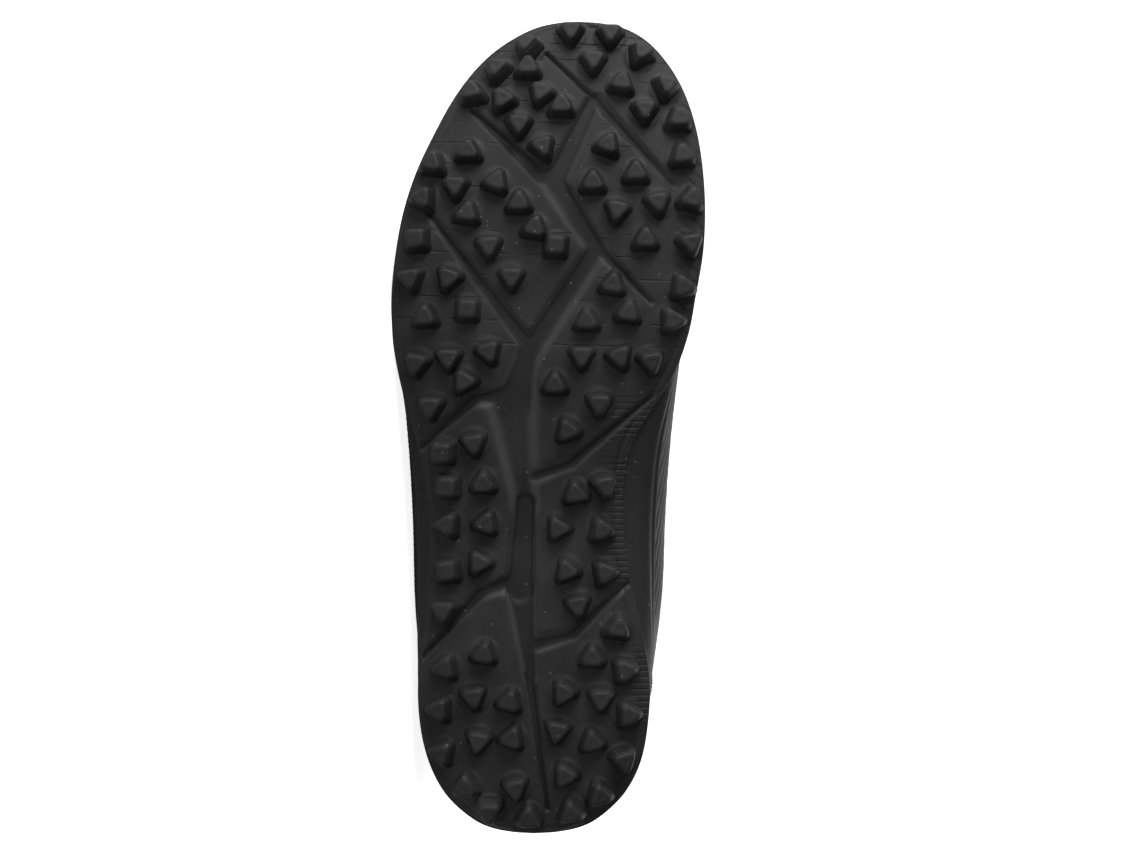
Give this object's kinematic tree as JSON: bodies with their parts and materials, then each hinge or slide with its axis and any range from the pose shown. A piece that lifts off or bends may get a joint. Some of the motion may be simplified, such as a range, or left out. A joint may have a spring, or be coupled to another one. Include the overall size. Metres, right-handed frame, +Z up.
{
  "type": "football shoe",
  "caption": "Low football shoe for artificial turf: studded rubber outsole, foam midsole, closed upper with padded collar, tongue and flat lace, lying on its outer side",
  "frame": {"origin": "centre of the footprint of the lying shoe, on the floor", "axes": "+X from toe to heel along the sole, -Y the way the tread faces, +Z up; the shoe lies on its outer side, so its inner side is up"},
  "size_m": [0.2832, 0.1146, 0.1105],
  "materials": {
    "rubber": "matte",
    "foam": "matte",
    "synthetic_leather": "satin",
    "tongue_fabric": "matte",
    "insole_fabric": "matte",
    "lace_fabric": "woven"
  },
  "bodies": {
    "root": {"outsole": "rubber", "midsole": "foam", "upper": "synthetic_leather", "tongue": "tongue_fabric", "insole": "insole_fabric", "lace": "lace_fabric"}
  },
  "joints": []
}
